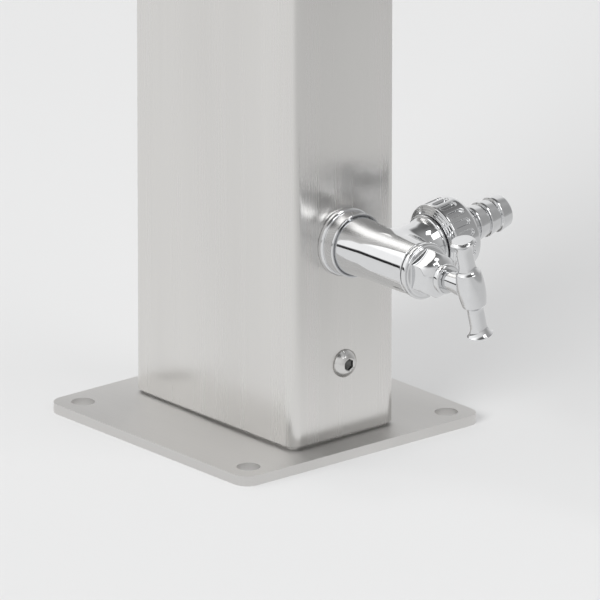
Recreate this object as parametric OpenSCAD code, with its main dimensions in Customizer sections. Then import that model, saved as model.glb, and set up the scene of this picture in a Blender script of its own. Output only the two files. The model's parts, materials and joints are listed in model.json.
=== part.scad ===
// Garden water post: a stainless rectangular post on a square base plate, with a chromed
// hose tap low on its narrow face. Millimetres, +Z up, origin at the centre of the plate's
// underside. The tap stands on the -Y face and its hose branch points towards +X.

/* [Base plate] */
// Side of the square base plate
plate_w = 150; // [150:1:200]
// Thickness of the base plate
plate_t = 5; // [4:0.5:8]
// Corner radius of the base plate
plate_corner_r = 8; // [4:1:14]
// Distance of the fixing holes from the plate's edges
hole_inset = 12.5; // [10:0.5:16]
// Diameter of the fixing holes
hole_d = 11.5; // [9:0.5:12]
// Diameter of the opening for the supply
supply_hole_d = 34; // [31:1:40]

/* [Post] */
// Height of the whole post above the floor
post_h = 1000; // [400:10:1300]
// Width of the narrow face
post_w = 66; // [62:1:80]
// Width of the wide face
post_d = 120; // [112:1:130]
// Wall of the post
post_wall = 2; // [1.5:0.25:3]
// Outer corner radius of the post
post_corner_r = 6; // [4:0.5:8]
// Gap between the plate and the lower end of the post
foot_gap = 1.5; // [0.5:0.25:3]

/* [Socket in the foot] */
// Height of the socket that the post slips over
socket_h = 60; // [55:1:90]
// Wall of the socket
socket_wall = 3; // [2:0.25:4]
// Clearance between the socket and the post
socket_gap = 0.3; // [0.2:0.05:0.5]
// Height of the fixing screw above the plate
screw_up = 38; // [30:1:44]

/* [Fixing screw] */
// Thread diameter of the fixing screw
screw_d = 8; // [6:1:8]
// Diameter of the button head
screw_head_d = 14; // [13:0.5:16]
// Height of the button head
screw_head_h = 4.4; // [3.5:0.1:5]
// Key size of the hexagon socket
screw_key = 5; // [4:0.5:5]
// Length of the screw under its head
screw_len = 16; // [14:1:20]

/* [Top cap] */
// Thickness of the cap's lid
cap_t = 3; // [2:0.5:5]
// Depth of the cap's skirt inside the post
cap_skirt_h = 14; // [8:1:30]
// Wall of the skirt
cap_skirt_wall = 2; // [1.5:0.25:3]
// Clearance between the skirt and the post
cap_gap = 0.15; // [0.1:0.05:0.3]

/* [Tap] */
// Height of the tap's axis above the plate
tap_up = 100; // [95:1:140]
// Turn of the tap about its own axis, which lifts the hose branch
tap_roll = 8; // [0:1:20]
// Radius of the barrel
barrel_r = 13.5; // [13.2:0.1:14]
// Growth of the barrel's radius where it meets the rosette
barrel_flare = 0.7; // [0.4:0.1:1.2]
// Length of the barrel, from the wall to its front face
barrel_len = 56.5; // [55:0.5:60]
// Length of the flare at the root of the barrel
barrel_flare_len = 17; // [10:1:20]
// Radius of the threaded inlet spigot
spigot_r = 10.4; // [10.2:0.1:10.6]
// Length of the spigot behind the face of the wall
spigot_len = 22; // [20:0.5:24]
// Radius of the waterway in the spigot
inlet_r = 7; // [6:0.25:7.5]
// Wall of the barrel round the valve chamber
barrel_wall = 3.1; // [2.6:0.1:3.4]
// Distance of the valve seat behind the branch's axis
seat_back = 10.4; // [9.6:0.2:11]
// Radius of the waterway in the seat
seat_r = 5.5; // [5:0.25:6]
// Width of the rim round the seat
seat_rim = 1.6; // [1:0.1:2]
// Depth of the groove round the seat
seat_groove = 2; // [1:0.25:2.5]

/* [Rosette] */
// Reach of the rosette beyond the barrel's root
rosette_rim = 2.8; // [2.4:0.1:5]
// Thickness of the rosette's flange
rosette_flange_t = 2.2; // [1.5:0.1:2.5]
// Full depth of the rosette
rosette_t = 5.6; // [5:0.1:7]
// Thickness of the rosette's floor behind the barrel
rosette_floor_t = 1.2; // [0.8:0.1:1.5]
// Radius of the bead that closes the rosette round the barrel
bead_r = 1; // [0.6:0.1:1.2]

/* [Hose branch] */
// Distance of the branch's axis behind the barrel's front face
branch_back = 21.1; // [20.5:0.2:22]
// Radius of the branch where it leaves the barrel
branch_r = 12.2; // [12:0.1:12.6]
// Width of the neck rim
neck_t = 2; // [1.5:0.1:3]
// Reach of the neck rim beyond the branch
neck_rim = 2.1; // [1.8:0.1:2.8]
// Growth of the branch's radius on its way to the neck rim
neck_flare = 0.5; // [0.3:0.1:0.8]
// Outer radius of the branch's thread
thread_r = 13.1; // [12.9:0.05:13.2]
// Length of the branch's thread in front of the neck rim
thread_len = 12.4; // [11:0.2:13]
// Distance of the branch's end face from the tap's axis
branch_len = 36; // [35:0.5:38]
// Radius of the waterway in the branch
branch_bore_r = 8; // [7:0.25:9]

/* [Union nut] */
// Outer radius of the union nut
nut_r = 18; // [17.6:0.1:19]
// Length of the union nut
nut_len = 13.6; // [13:0.2:15]
// Rounding of the nut's far rim
nut_round_r = 3; // [1:0.25:3.5]
// Thickness of the lip that pulls on the tail's collar
lip_t = 1.2; // [1:0.1:2]
// Number of grip slots round the nut
slot_count = 20; // [16:1:24]
// Width of a grip slot
slot_w = 3; // [2:0.1:3.4]
// Length of a grip slot
slot_len = 9.4; // [7:0.2:10]
// Distance of the slots from the nut's near rim
slot_rim = 2.2; // [1.5:0.1:3]
// Depth of a grip slot
slot_depth = 1.1; // [0.8:0.1:1.4]
// Clearance between the nut and what it turns on
nut_gap = 0.3; // [0.2:0.05:0.4]

/* [Hose tail] */
// Radius of the barb crests
barb_r = 9; // [8.7:0.1:9.2]
// Radius at the foot of a barb
barb_root_r = 7.9; // [7.6:0.1:8.1]
// Number of barbs
barb_count = 4; // [3:1:5]
// Length of one barb
barb_pitch = 7; // [6:0.25:8]
// Radius of the waterway in the tail
tail_bore_r = 6; // [5:0.25:6.2]
// Thickness of the washer behind the tail
tail_washer_t = 2; // [1.5:0.1:2.5]
// Thickness of the tail's collar
tail_collar_t = 2.4; // [2:0.1:3]
// Radius of the tail's collar
tail_collar_r = 12.4; // [12:0.1:12.6]

/* [Bonnet] */
// Thickness of the bonnet's gasket
gasket_t = 0.8; // [0.6:0.1:1]
// Reach of the bonnet's flange beyond the barrel
flange_rim = 0.4; // [0:0.1:1]
// Thickness of the bonnet's flange
flange_t = 3; // [2.5:0.1:3.5]
// Width of the bonnet's hexagon across its flats
hex_af = 20.4; // [19.5:0.1:21]
// Length of the bonnet's hexagon
hex_len = 8; // [7:0.2:9]
// Length of the chamfer on the hexagon's corners
hex_chamfer = 3.6; // [1:0.2:4]
// Length of the round shoulder between the flange and the flats
shoulder_t = 1.2; // [0.5:0.1:2]
// Length of the neck in front of the hexagon
bonnet_neck_len = 5; // [4.5:0.1:6]
// Radius of the neck's front
bonnet_neck_r = 7.9; // [7.8:0.1:8.2]
// Length of the bonnet's sleeve inside the barrel
sleeve_len = 11; // [9:0.5:12]
// Radius of the gland nut
gland_r = 7.3; // [7:0.1:7.6]
// Thickness of the gland nut's flange
gland_t = 3.2; // [2.5:0.1:3.5]

/* [Spindle and valve] */
// Radius of the spindle
spindle_r = 4; // [3.8:0.1:4.2]
// Radius of the valve plunger
plunger_r = 7; // [6.8:0.1:7.2]
// Length of the valve plunger
plunger_len = 25; // [24:0.5:26]
// Lift of the valve from closed to fully open
valve_lift = 5.625; // [4:0.125:5.625]
// Radius of the seat washer
washer_r = 8.5; // [8:0.1:9]
// Thickness of the seat washer
washer_t = 3; // [2.5:0.1:3.5]
// Thickness of the plate behind the seat washer
washer_plate_t = 2; // [1.5:0.25:3]
// Radius of the stud that carries the seat washer
stud_r = 2.4; // [2:0.1:2.8]
// Thickness of the nut on that stud
stud_nut_t = 2.2; // [1.6:0.1:2.6]
// Solid floor of the plunger behind its screw thread
plunger_floor = 5; // [4:0.5:7]
// Radial clearance of the running fits
run_gap = 0.05; // [0.03:0.01:0.1]

/* [Handle] */
// Distance of the handle's bar in front of the gland nut
handle_reach = 16.4; // [16:0.2:18]
// Half length of the handle
handle_half = 26; // [24:0.5:32]
// Turn of the bar from upright
handle_turn = 13; // [0:1:45]
// Radius of the bar's bulge in the middle
hub_r = 6.9; // [6.8:0.1:8]
// Radius of the bulge at its two rims
hub_rim_r = 5.9; // [5.6:0.1:6.6]
// Half length of the bulge
hub_half = 9; // [8:0.25:10]
// Length of the slope from a rim of the bulge to the neck
hub_slope = 2; // [1:0.25:3]
// Radius of the bar's necks
arm_r = 4.5; // [4:0.1:5]
// Length of the straight neck beside the bulge
arm_len = 4; // [2:0.5:6]
// Radius of the bar's flared ends
tip_r = 6.2; // [5.4:0.1:6.6]
// Radius of the flat on each end
tip_face_r = 5.2; // [4:0.1:5.4]
// Length of the rounded rim on each end
tip_t = 1.8; // [1:0.1:2.5]
// Radius of the boss where it meets the gland
boss_r = 4.9; // [4.8:0.1:5.2]
// Growth of the boss's radius towards the bar
boss_taper = 1; // [0:0.1:1.5]
// Side of the spindle's square in the handle
square_w = 5.6; // [5:0.1:5.6]

/* [Supply inside the post] */
// Distance of the riser behind the wall's outer face
riser_back = 36; // [36:1:42]
// Outer radius of the riser pipe
pipe_r = 7.5; // [7:0.25:7.5]
// Wall of the riser pipe
pipe_wall = 1; // [0.8:0.1:1.5]
// Width of the lock nut across its flats
lock_nut_af = 27; // [26:0.5:30]
// Thickness of the lock nut
lock_nut_t = 6; // [5:0.5:7]
// Radius of the inlet thread in the foot
inlet_thread_r = 9.3; // [9:0.1:9.5]

/* [Hidden] */

// Overrun of every cut past the face that it opens
cut = 1;
// Clearance of parts that are screwed or pushed together and then stay
seat_gap = 0.1;
// Small edge rounding or chamfer on turned parts
edge = 0.5;
// Facets of round parts, and of the small slot ends
$fn = 96;
slot_fn = 24;

// Colours of the materials
steel = [0.77, 0.76, 0.74];
chrome = [0.86, 0.87, 0.88];
brass = [0.72, 0.6, 0.32];
rubber = [0.12, 0.12, 0.13];
copper = [0.72, 0.45, 0.32];
fibre = [0.62, 0.24, 0.18];

// Places and sizes that follow from the values above
hole_at = plate_w / 2 - hole_inset;
post_z = plate_t + foot_gap;
tube_top = post_h - cap_t;
socket_w = post_w - 2 * (post_wall + socket_gap);
socket_d = post_d - 2 * (post_wall + socket_gap);
socket_r = max(edge, post_corner_r - post_wall - socket_gap);
screw_z = plate_t + screw_up;
tap_z = plate_t + tap_up;
wall_y = -post_d / 2;
riser_y = wall_y + riser_back;
screw_hole_d = screw_d + 2 * edge;

barrel_root_r = barrel_r + barrel_flare;
rosette_r = barrel_root_r + rosette_rim;
chamber_r = barrel_r - barrel_wall;
flange_r = barrel_r + flange_rim;
neck_r = branch_r + neck_rim;

// Places along the tap's axis, counted outwards from the face of the wall
branch_s = barrel_len - branch_back;
seat_s = branch_s - seat_back;
flange_s = barrel_len + gasket_t;
hex_s = flange_s + flange_t;
hex_end = hex_s + hex_len;
neck_s = hex_end + bonnet_neck_len;
gland_end = neck_s + seat_gap + gland_t;
washer_s = seat_s + 2 * seat_gap;
plunger_s = washer_s + washer_t;
plunger_end = plunger_s + plunger_len;
collar_s = plunger_end + valve_lift + 4 * seat_gap;
// Thickness of the spindle's collar
collar_t = 2;
collar_end = collar_s + collar_t;
guide_end = collar_end + 2 * seat_gap;
// Start, length and radius of the gland packing
packing_s = hex_end;
packing_t = 3;
packing_r = 6.2;
boss_s = gland_end + 3 * seat_gap;
handle_s = gland_end + handle_reach;

// Places along the branch's axis, counted from the tap's axis
neck_end = branch_len - thread_len;
washer_l = branch_len + seat_gap;
collar_l = washer_l + tail_washer_t;
tail_l = collar_l + tail_collar_t;
lip_l = tail_l + nut_gap;
nut_end = lip_l + lip_t;
nut_start = nut_end - nut_len;
tail_neck_r = barb_root_r + edge;
barb_l = nut_end;
tail_end = barb_l + barb_count * barb_pitch;

// Thickness and radius of the backing washer behind the wall
backing_t = 1.5;
backing_r = 15.5;
// Distance of the elbow's mouth behind the wall's outer face
elbow_mouth = post_wall + backing_t + lock_nut_t + 2 * seat_gap;
// Thickness of the seal in the elbow
elbow_seal_t = 1.5;
// Radii of the elbow's body, of its mouth and of its threaded leg
elbow_r = 13.4;
elbow_mouth_r = 12.6;
elbow_leg_r = 10.6;
// Reach of the elbow's leg, and place of the pipe's end, below the tap's axis
elbow_drop = 24;
pipe_seat = 13;
// Width of the compression nut across its flats, and its two ends below the tap's axis
comp_nut_af = 25;
comp_nut_up = 14;
comp_nut_down = 33;
// Length of the compression ring
ring_t = 4.5;
// Height, radius and distance from the floor of the inlet socket
inlet_h = 32;
inlet_r_out = 13;
inlet_foot = 1;
// Length of the inlet's thread, and the web between it and the pipe
inlet_thread_len = 15;
inlet_web = 4;

// Puts its children on the tap's axis: local +Z points out of the wall
module tap_axis(s = 0, roll = tap_roll) {
    translate([0, wall_y, tap_z]) rotate([90, 0, 0]) rotate([0, 0, roll]) translate([0, 0, s]) children();
}

// Puts its children on the branch's axis: local +Z points towards the hose
module branch_axis(l = 0) {
    tap_axis(branch_s) rotate([0, 90, 0]) translate([0, 0, l]) children();
}

// Flat rectangle with round corners, centred
module round_rect(w, d, r) {
    union() {
        square([w - 2 * r, d], center = true);
        square([w, d - 2 * r], center = true);
        for (x = [-1, 1], y = [-1, 1]) translate([x * (w / 2 - r), y * (d / 2 - r)]) circle(r = r);
    }
}

// Flat ring between two radii
module ring(r_out, r_in, t) {
    difference() {
        cylinder(r = r_out, h = t);
        translate([0, 0, -cut]) cylinder(r = r_in, h = t + 2 * cut);
    }
}

// Half profile turned round the local Z axis; points are [radius, place along the axis]
module turned(points) {
    rotate_extrude() polygon(points);
}

// Hexagonal prism given by its width across flats, with flats square to local Y
module hexagon(af, t) {
    cylinder(r = af / sqrt(3), h = t, $fn = 6);
}

// Hexagon nut blank with chamfered corners on its far end
module chamfered_hexagon(af, t, chamfer) {
    corner_r = af / sqrt(3);
    intersection() {
        hexagon(af, t);
        turned([
            [0, 0], [corner_r + edge, 0], [corner_r + edge, t - chamfer],
            [af / 2 - edge, t], [0, t]
        ]);
    }
}

module base_plate() {
    color(steel) difference() {
        linear_extrude(plate_t) round_rect(plate_w, plate_w, plate_corner_r);
        for (x = [-1, 1], y = [-1, 1])
            translate([x * hole_at, y * hole_at, -cut]) cylinder(d = hole_d, h = plate_t + 2 * cut);
        translate([0, riser_y, -cut]) cylinder(d = supply_hole_d, h = plate_t + 2 * cut);
    }
}

// Short rectangular tube on the plate that the post slips over
module base_socket() {
    color(steel) difference() {
        translate([0, 0, plate_t]) linear_extrude(socket_h) difference() {
            round_rect(socket_w, socket_d, socket_r);
            round_rect(socket_w - 2 * socket_wall, socket_d - 2 * socket_wall, edge);
        }
        translate([0, -socket_d / 2 - cut, screw_z]) rotate([-90, 0, 0])
            cylinder(d = screw_hole_d, h = socket_wall + 2 * cut);
    }
}

// Square nut welded behind the socket's wall
module weld_nut() {
    width_share = 1.7;
    thickness_share = 0.75;
    nut_w = width_share * screw_d;
    nut_t = thickness_share * screw_d;
    color(steel) translate([0, -socket_d / 2 + socket_wall, screw_z]) rotate([-90, 0, 0]) difference() {
        translate([0, 0, nut_t / 2]) cube([nut_w, nut_w, nut_t], center = true);
        translate([0, 0, -cut]) cylinder(d = screw_d + 2 * seat_gap, h = nut_t + 2 * cut);
    }
}

module post_tube() {
    color(steel) difference() {
        translate([0, 0, post_z]) linear_extrude(tube_top - post_z) difference() {
            round_rect(post_w, post_d, post_corner_r);
            round_rect(post_w - 2 * post_wall, post_d - 2 * post_wall, post_corner_r - post_wall);
        }
        tap_axis(-post_wall - cut) cylinder(r = spigot_r + 3 * seat_gap, h = post_wall + 2 * cut);
        translate([0, wall_y - cut, screw_z]) rotate([-90, 0, 0])
            cylinder(d = screw_hole_d, h = post_wall + 2 * cut);
    }
}

// Flat lid with a skirt that is pushed into the post
module top_cap() {
    skirt_w = post_w - 2 * (post_wall + cap_gap);
    skirt_d = post_d - 2 * (post_wall + cap_gap);
    skirt_r = post_corner_r - post_wall - cap_gap;
    color(steel) translate([0, 0, tube_top]) {
        linear_extrude(cap_t) round_rect(post_w, post_d, post_corner_r);
        translate([0, 0, -cap_skirt_h]) linear_extrude(cap_skirt_h) difference() {
            round_rect(skirt_w, skirt_d, skirt_r);
            round_rect(skirt_w - 2 * cap_skirt_wall, skirt_d - 2 * cap_skirt_wall, skirt_r - cap_skirt_wall / 2);
        }
    }
}

// Button-head screw with a hexagon socket, its domed head outside the wall
module fixing_screw() {
    rim_share = 0.15;
    key_share = 0.6;
    head_r = screw_head_d / 2;
    rim_h = rim_share * screw_head_h;
    dome_h = screw_head_h - rim_h;
    dome_r = (head_r * head_r + dome_h * dome_h) / (2 * dome_h);
    key_depth = key_share * screw_head_h;
    color(chrome) translate([0, wall_y, screw_z]) rotate([90, 0, 0]) difference() {
        union() {
            translate([0, 0, -screw_len]) cylinder(d = screw_d, h = screw_len + rim_h);
            intersection() {
                cylinder(r = head_r, h = screw_head_h + cut);
                translate([0, 0, screw_head_h - dome_r]) sphere(r = dome_r);
            }
        }
        translate([0, 0, screw_head_h - key_depth]) hexagon(screw_key, key_depth + cut);
    }
}

// Stepped cover ring between the wall and the barrel
module tap_rosette() {
    bore_r = barrel_root_r + seat_gap;
    bead_s = rosette_t - bead_r;
    step_r = bore_r + bead_r;
    color(chrome) tap_axis() rotate_extrude() union() {
        polygon([
            [spigot_r + 2 * seat_gap, 0], [rosette_r - edge, 0], [rosette_r, edge],
            [rosette_r, rosette_flange_t - edge], [rosette_r - edge, rosette_flange_t],
            [step_r, rosette_flange_t], [step_r - edge / 2, bead_s], [bore_r, bead_s],
            [bore_r, rosette_floor_t], [spigot_r + 2 * seat_gap, rosette_floor_t]
        ]);
        translate([bore_r, bead_s]) intersection() {
            circle(r = bead_r);
            square(bead_r);
        }
    }
}

// Radius of the barrel at a share of its flare, from the rosette outwards
function flare_r(share) = barrel_r + (barrel_root_r - barrel_r) * pow(1 - share, 2);

// Barrel with its inlet spigot, valve seat, chamber and hose branch
module tap_body() {
    flare_steps = 8;
    root_s = rosette_floor_t + seat_gap;
    color(chrome) difference() {
        union() {
            tap_axis() turned(concat(
                [[0, -spigot_len], [spigot_r - edge, -spigot_len], [spigot_r, edge - spigot_len],
                 [spigot_r, root_s]],
                [for (i = [0:flare_steps]) [flare_r(i / flare_steps),
                    root_s + (i == 0 ? 0 : rosette_t + barrel_flare_len * i / flare_steps)]],
                [[barrel_r, barrel_len - edge / 2], [barrel_r - edge / 2, barrel_len], [0, barrel_len]]
            ));
            branch_axis() turned([
                [0, 0], [branch_r, 0], [branch_r, neck_end - 4 * neck_t],
                [branch_r + neck_flare, neck_end - 2 * neck_t], [neck_r - 2 * edge, neck_end - neck_t - edge],
                [neck_r, neck_end - neck_t], [neck_r, neck_end - edge], [neck_r - edge, neck_end],
                [thread_r - edge, neck_end], [thread_r - edge, neck_end + edge], [thread_r, neck_end + 2 * edge],
                [thread_r, branch_len - 2 * edge], [thread_r - 2 * edge, branch_len], [0, branch_len]
            ]);
        }
        tap_axis(-spigot_len - cut) cylinder(r = inlet_r, h = spigot_len + seat_s - 2 * seat_groove + cut);
        tap_axis(-cut) cylinder(r = seat_r, h = seat_s + 2 * cut);
        tap_axis(seat_s) cylinder(r = chamber_r, h = barrel_len - seat_s + cut);
        tap_axis(seat_s - seat_groove) ring(chamber_r, seat_r + seat_rim, seat_groove + cut);
        branch_axis() cylinder(r = branch_bore_r, h = branch_len + cut);
    }
}

// Plain washer between the wall and the lock nut
module backing_washer() {
    color(steel) tap_axis(-post_wall - seat_gap - backing_t) ring(backing_r, spigot_r + 2 * seat_gap, backing_t);
}

// Thin hexagon nut that holds the tap to the wall
module lock_nut() {
    color(brass) tap_axis(seat_gap - elbow_mouth) difference() {
        chamfered_hexagon(lock_nut_af, lock_nut_t, 2 * edge);
        translate([0, 0, -cut]) cylinder(r = spigot_r + seat_gap, h = lock_nut_t + 2 * cut);
    }
}

// Elbow that takes the tap's spigot at its side and the riser from below
module supply_elbow() {
    seal_s = spigot_len + elbow_seal_t + 2 * seat_gap;
    water_r = pipe_r - pipe_wall;
    color(brass) difference() {
        union() {
            translate([0, riser_y, tap_z]) turned([
                [0, -elbow_drop], [elbow_leg_r, -elbow_drop], [elbow_leg_r, 2 * edge - comp_nut_up],
                [elbow_r, 2 * edge - comp_nut_up], [elbow_r, elbow_r], [elbow_r - 3 * edge, elbow_r + 3 * edge],
                [0, elbow_r + 3 * edge]
            ]);
            tap_axis(-riser_back) cylinder(r = elbow_mouth_r, h = riser_back - elbow_mouth - seat_gap);
        }
        tap_axis(-seal_s) cylinder(r = spigot_r + seat_gap, h = seal_s);
        tap_axis(-riser_back) cylinder(r = water_r - edge, h = riser_back);
        translate([0, riser_y, tap_z - elbow_drop - cut]) {
            cylinder(r = water_r, h = elbow_drop + cut);
            cylinder(r = pipe_r + seat_gap, h = elbow_drop - pipe_seat + cut);
        }
    }
}

// Flat ring that seals the end of the spigot in the elbow
module elbow_seal() {
    color(fibre) tap_axis(-spigot_len - seat_gap - elbow_seal_t) ring(spigot_r - seat_gap, inlet_r, elbow_seal_t);
}

// Riser that brings the water up from the foot
module supply_pipe() {
    top = tap_z - pipe_seat - seat_gap;
    bottom = inlet_foot + inlet_thread_len + inlet_web + seat_gap;
    color(copper) translate([0, riser_y, bottom]) ring(pipe_r, pipe_r - pipe_wall, top - bottom);
}

// Double-tapered ring that the compression nut squeezes on the pipe
module compression_ring() {
    top = tap_z - elbow_drop - seat_gap;
    crest_r = elbow_leg_r - 6 * seat_gap;
    end_r = pipe_r + 2 * edge;
    color(brass) translate([0, riser_y, top - ring_t]) turned([
        [pipe_r + seat_gap, 0], [end_r, 0], [crest_r, ring_t / 3], [crest_r, 2 * ring_t / 3],
        [end_r, ring_t], [pipe_r + seat_gap, ring_t]
    ]);
}

// Hexagon nut on the elbow's lower end
module compression_nut() {
    nut_h = comp_nut_down - comp_nut_up;
    floor_t = comp_nut_down - elbow_drop - ring_t - 2 * seat_gap;
    color(brass) translate([0, riser_y, tap_z - comp_nut_down]) difference() {
        chamfered_hexagon(comp_nut_af, nut_h, 2 * edge);
        translate([0, 0, floor_t]) cylinder(r = elbow_leg_r + seat_gap, h = nut_h);
        translate([0, 0, -cut]) cylinder(r = pipe_r + seat_gap, h = nut_h);
    }
}

// Socket at the foot of the riser, threaded inside for the supply from below
module inlet_socket() {
    neck_wall = 2 * pipe_wall;
    color(brass) translate([0, riser_y, inlet_foot]) difference() {
        turned([
            [0, 0], [inlet_r_out - edge, 0], [inlet_r_out, edge],
            [inlet_r_out, inlet_thread_len + inlet_web / 2], [pipe_r + neck_wall, inlet_thread_len + inlet_web],
            [pipe_r + neck_wall, inlet_h - edge], [pipe_r + neck_wall - edge, inlet_h], [0, inlet_h]
        ]);
        translate([0, 0, -cut]) cylinder(r = inlet_thread_r, h = inlet_thread_len + cut);
        cylinder(r = pipe_r - pipe_wall, h = inlet_h);
        translate([0, 0, inlet_thread_len + inlet_web]) cylinder(r = pipe_r + seat_gap, h = inlet_h);
    }
}

// Headwork: threaded sleeve, flange, hexagon and tapered neck
module bonnet() {
    sleeve_r = chamber_r - seat_gap;
    corner_r = hex_af / sqrt(3);
    color(chrome) tap_axis() difference() {
        union() {
            turned([
                [0, flange_s - sleeve_len], [sleeve_r, flange_s - sleeve_len], [sleeve_r, flange_s],
                [flange_r - edge, flange_s], [flange_r, flange_s + edge], [flange_r, hex_s - edge],
                [flange_r - edge, hex_s], [corner_r + edge, hex_s], [corner_r, hex_s + shoulder_t],
                [hex_af / 2 - edge, hex_s + shoulder_t + edge], [0, hex_s + shoulder_t + edge]
            ]);
            translate([0, 0, hex_s]) chamfered_hexagon(hex_af, hex_len, hex_chamfer);
            turned([
                [0, hex_end - cut], [hex_af / 2 - 2 * edge, hex_end - cut], [hex_af / 2 - 2 * edge, hex_end],
                [bonnet_neck_r, hex_end + bonnet_neck_len / 2], [bonnet_neck_r, neck_s], [0, neck_s]
            ]);
        }
        translate([0, 0, flange_s - sleeve_len - cut])
            cylinder(r = plunger_r + run_gap, h = guide_end - flange_s + sleeve_len + cut);
        cylinder(r = spindle_r + run_gap, h = neck_s + cut);
        translate([0, 0, packing_s]) cylinder(r = packing_r + seat_gap, h = neck_s - packing_s + cut);
    }
}

// Thin gasket between the barrel and the bonnet's flange
module bonnet_gasket() {
    color(rubber) tap_axis(barrel_len + seat_gap / 2)
        ring(barrel_r - edge, chamber_r + seat_gap, gasket_t - seat_gap);
}

// Packing round the spindle
module gland_packing() {
    color(rubber) tap_axis(packing_s + seat_gap) ring(packing_r, spindle_r + run_gap, packing_t - seat_gap);
}

// Flanged nut that presses the packing
module gland_nut() {
    spigot_s = packing_s + packing_t + seat_gap;
    color(chrome) tap_axis() difference() {
        turned([
            [0, spigot_s], [packing_r, spigot_s], [packing_r, neck_s + seat_gap],
            [gland_r - edge, neck_s + seat_gap], [gland_r, neck_s + seat_gap + edge],
            [gland_r, gland_end - edge], [gland_r - edge, gland_end], [0, gland_end]
        ]);
        cylinder(r = spindle_r + run_gap, h = gland_end + cut);
    }
}

// Spindle: screw in the plunger, collar in the bonnet, stem and square for the handle
module spindle() {
    screw_start = plunger_s + plunger_floor + valve_lift + 3 * seat_gap;
    stem_end = handle_s - hub_r;
    square_end = handle_s + hub_r / 2;
    color(brass) tap_axis(0, handle_turn) {
        turned([
            [0, screw_start], [spindle_r - edge, screw_start], [spindle_r, screw_start + edge],
            [spindle_r, collar_s], [plunger_r - 2 * seat_gap, collar_s],
            [plunger_r - 2 * seat_gap, collar_end], [spindle_r, collar_end],
            [spindle_r, stem_end], [0, stem_end]
        ]);
        translate([-square_w / 2, -square_w / 2, stem_end - cut])
            cube([square_w, square_w, square_end - stem_end + cut]);
    }
}

// Plunger that the spindle draws back from the seat
module valve_plunger() {
    flat_share = 0.95;
    flat_x = flat_share * plunger_r;
    color(brass) tap_axis() difference() {
        union() {
            translate([0, 0, plunger_s]) cylinder(r = plunger_r, h = plunger_len);
            translate([0, 0, plunger_s]) cylinder(r = washer_r, h = washer_plate_t);
            translate([0, 0, washer_s]) cylinder(r = stud_r, h = washer_t);
        }
        translate([0, 0, plunger_s + plunger_floor]) cylinder(r = spindle_r + run_gap, h = plunger_len);
        for (side = [0, 180]) rotate([0, 0, side])
            translate([flat_x, -plunger_r, plunger_s + washer_plate_t])
                cube([plunger_r, 2 * plunger_r, plunger_len]);
    }
}

// Rubber washer that closes on the seat
module seat_washer() {
    color(rubber) tap_axis(washer_s) ring(washer_r, stud_r + seat_gap, washer_t - seat_gap);
}

// Small nut that holds the seat washer on the plunger
module washer_nut() {
    waterway_share = 0.72;
    nut_af = 2 * waterway_share * seat_r;
    color(brass) tap_axis(washer_s - seat_gap - stud_nut_t) chamfered_hexagon(nut_af, stud_nut_t, edge);
}

// Radius of the handle's bulge at a share of the way from its middle to its rim
function bulge_r(share) = hub_r - (hub_r - hub_rim_r) * pow(share, 2);

// Radius of the handle's flare at a share of the way from the neck to the end's rim
function tip_flare_r(share) = arm_r + (tip_r - arm_r) * pow(share, 3);

// T-handle: a turned bar with a bulged hub, necks and flared ends, and a boss to the gland
module tee_handle() {
    steps = 6;
    slope_end = hub_half + hub_slope;
    flare_start = slope_end + arm_len;
    flare_len = handle_half - tip_t - flare_start;
    half = concat(
        [for (i = [0:steps]) [bulge_r(i / steps), hub_half * i / steps]],
        [[arm_r + edge / 2, slope_end - edge], [arm_r, slope_end]],
        [for (i = [0:steps]) [tip_flare_r(i / steps), flare_start + flare_len * i / steps]],
        [[tip_r, handle_half - tip_t + edge], [tip_face_r, handle_half], [0, handle_half]]
    );
    color(chrome) tap_axis(0, handle_turn) difference() {
        union() {
            translate([0, 0, handle_s]) for (side = [-90, 90])
                rotate([side, 0, 0]) turned(concat([[0, 0]], half));
            translate([0, 0, boss_s]) cylinder(r1 = boss_r, r2 = boss_r + boss_taper, h = handle_s - boss_s);
        }
        translate([0, 0, boss_s - cut]) cylinder(r = spindle_r + seat_gap, h = handle_s - hub_r - boss_s + cut);
        translate([-square_w / 2 - seat_gap, -square_w / 2 - seat_gap, handle_s - hub_r - cut])
            cube([square_w + 2 * seat_gap, square_w + 2 * seat_gap, 3 * hub_r / 2 + seat_gap + cut]);
    }
}

// Union nut with grip slots round its side
module union_nut() {
    bore_r = thread_r + nut_gap;
    lip_r = barb_r + nut_gap;
    round_at = [nut_r - nut_round_r, nut_end - nut_round_r];
    color(chrome) difference() {
        branch_axis() rotate_extrude() union() {
            polygon([
                [bore_r, nut_start], [nut_r - edge, nut_start], [nut_r, nut_start + edge],
                [nut_r, round_at[1]], round_at, [round_at[0], nut_end],
                [lip_r, nut_end], [lip_r, lip_l], [bore_r, lip_l]
            ]);
            translate(round_at) intersection() {
                circle(r = nut_round_r);
                square(nut_round_r);
            }
        }
        for (i = [0:slot_count - 1]) branch_axis(nut_start + slot_rim) rotate([0, 0, i * 360 / slot_count])
            translate([nut_r - slot_depth, 0, slot_w / 2]) rotate([0, 90, 0]) union() {
                cylinder(d = slot_w, h = 2 * slot_depth, $fn = slot_fn);
                translate([slot_w - slot_len, 0, 0]) cylinder(d = slot_w, h = 2 * slot_depth, $fn = slot_fn);
                translate([slot_w - slot_len, -slot_w / 2, 0])
                    cube([slot_len - slot_w, slot_w, 2 * slot_depth]);
            }
    }
}

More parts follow.
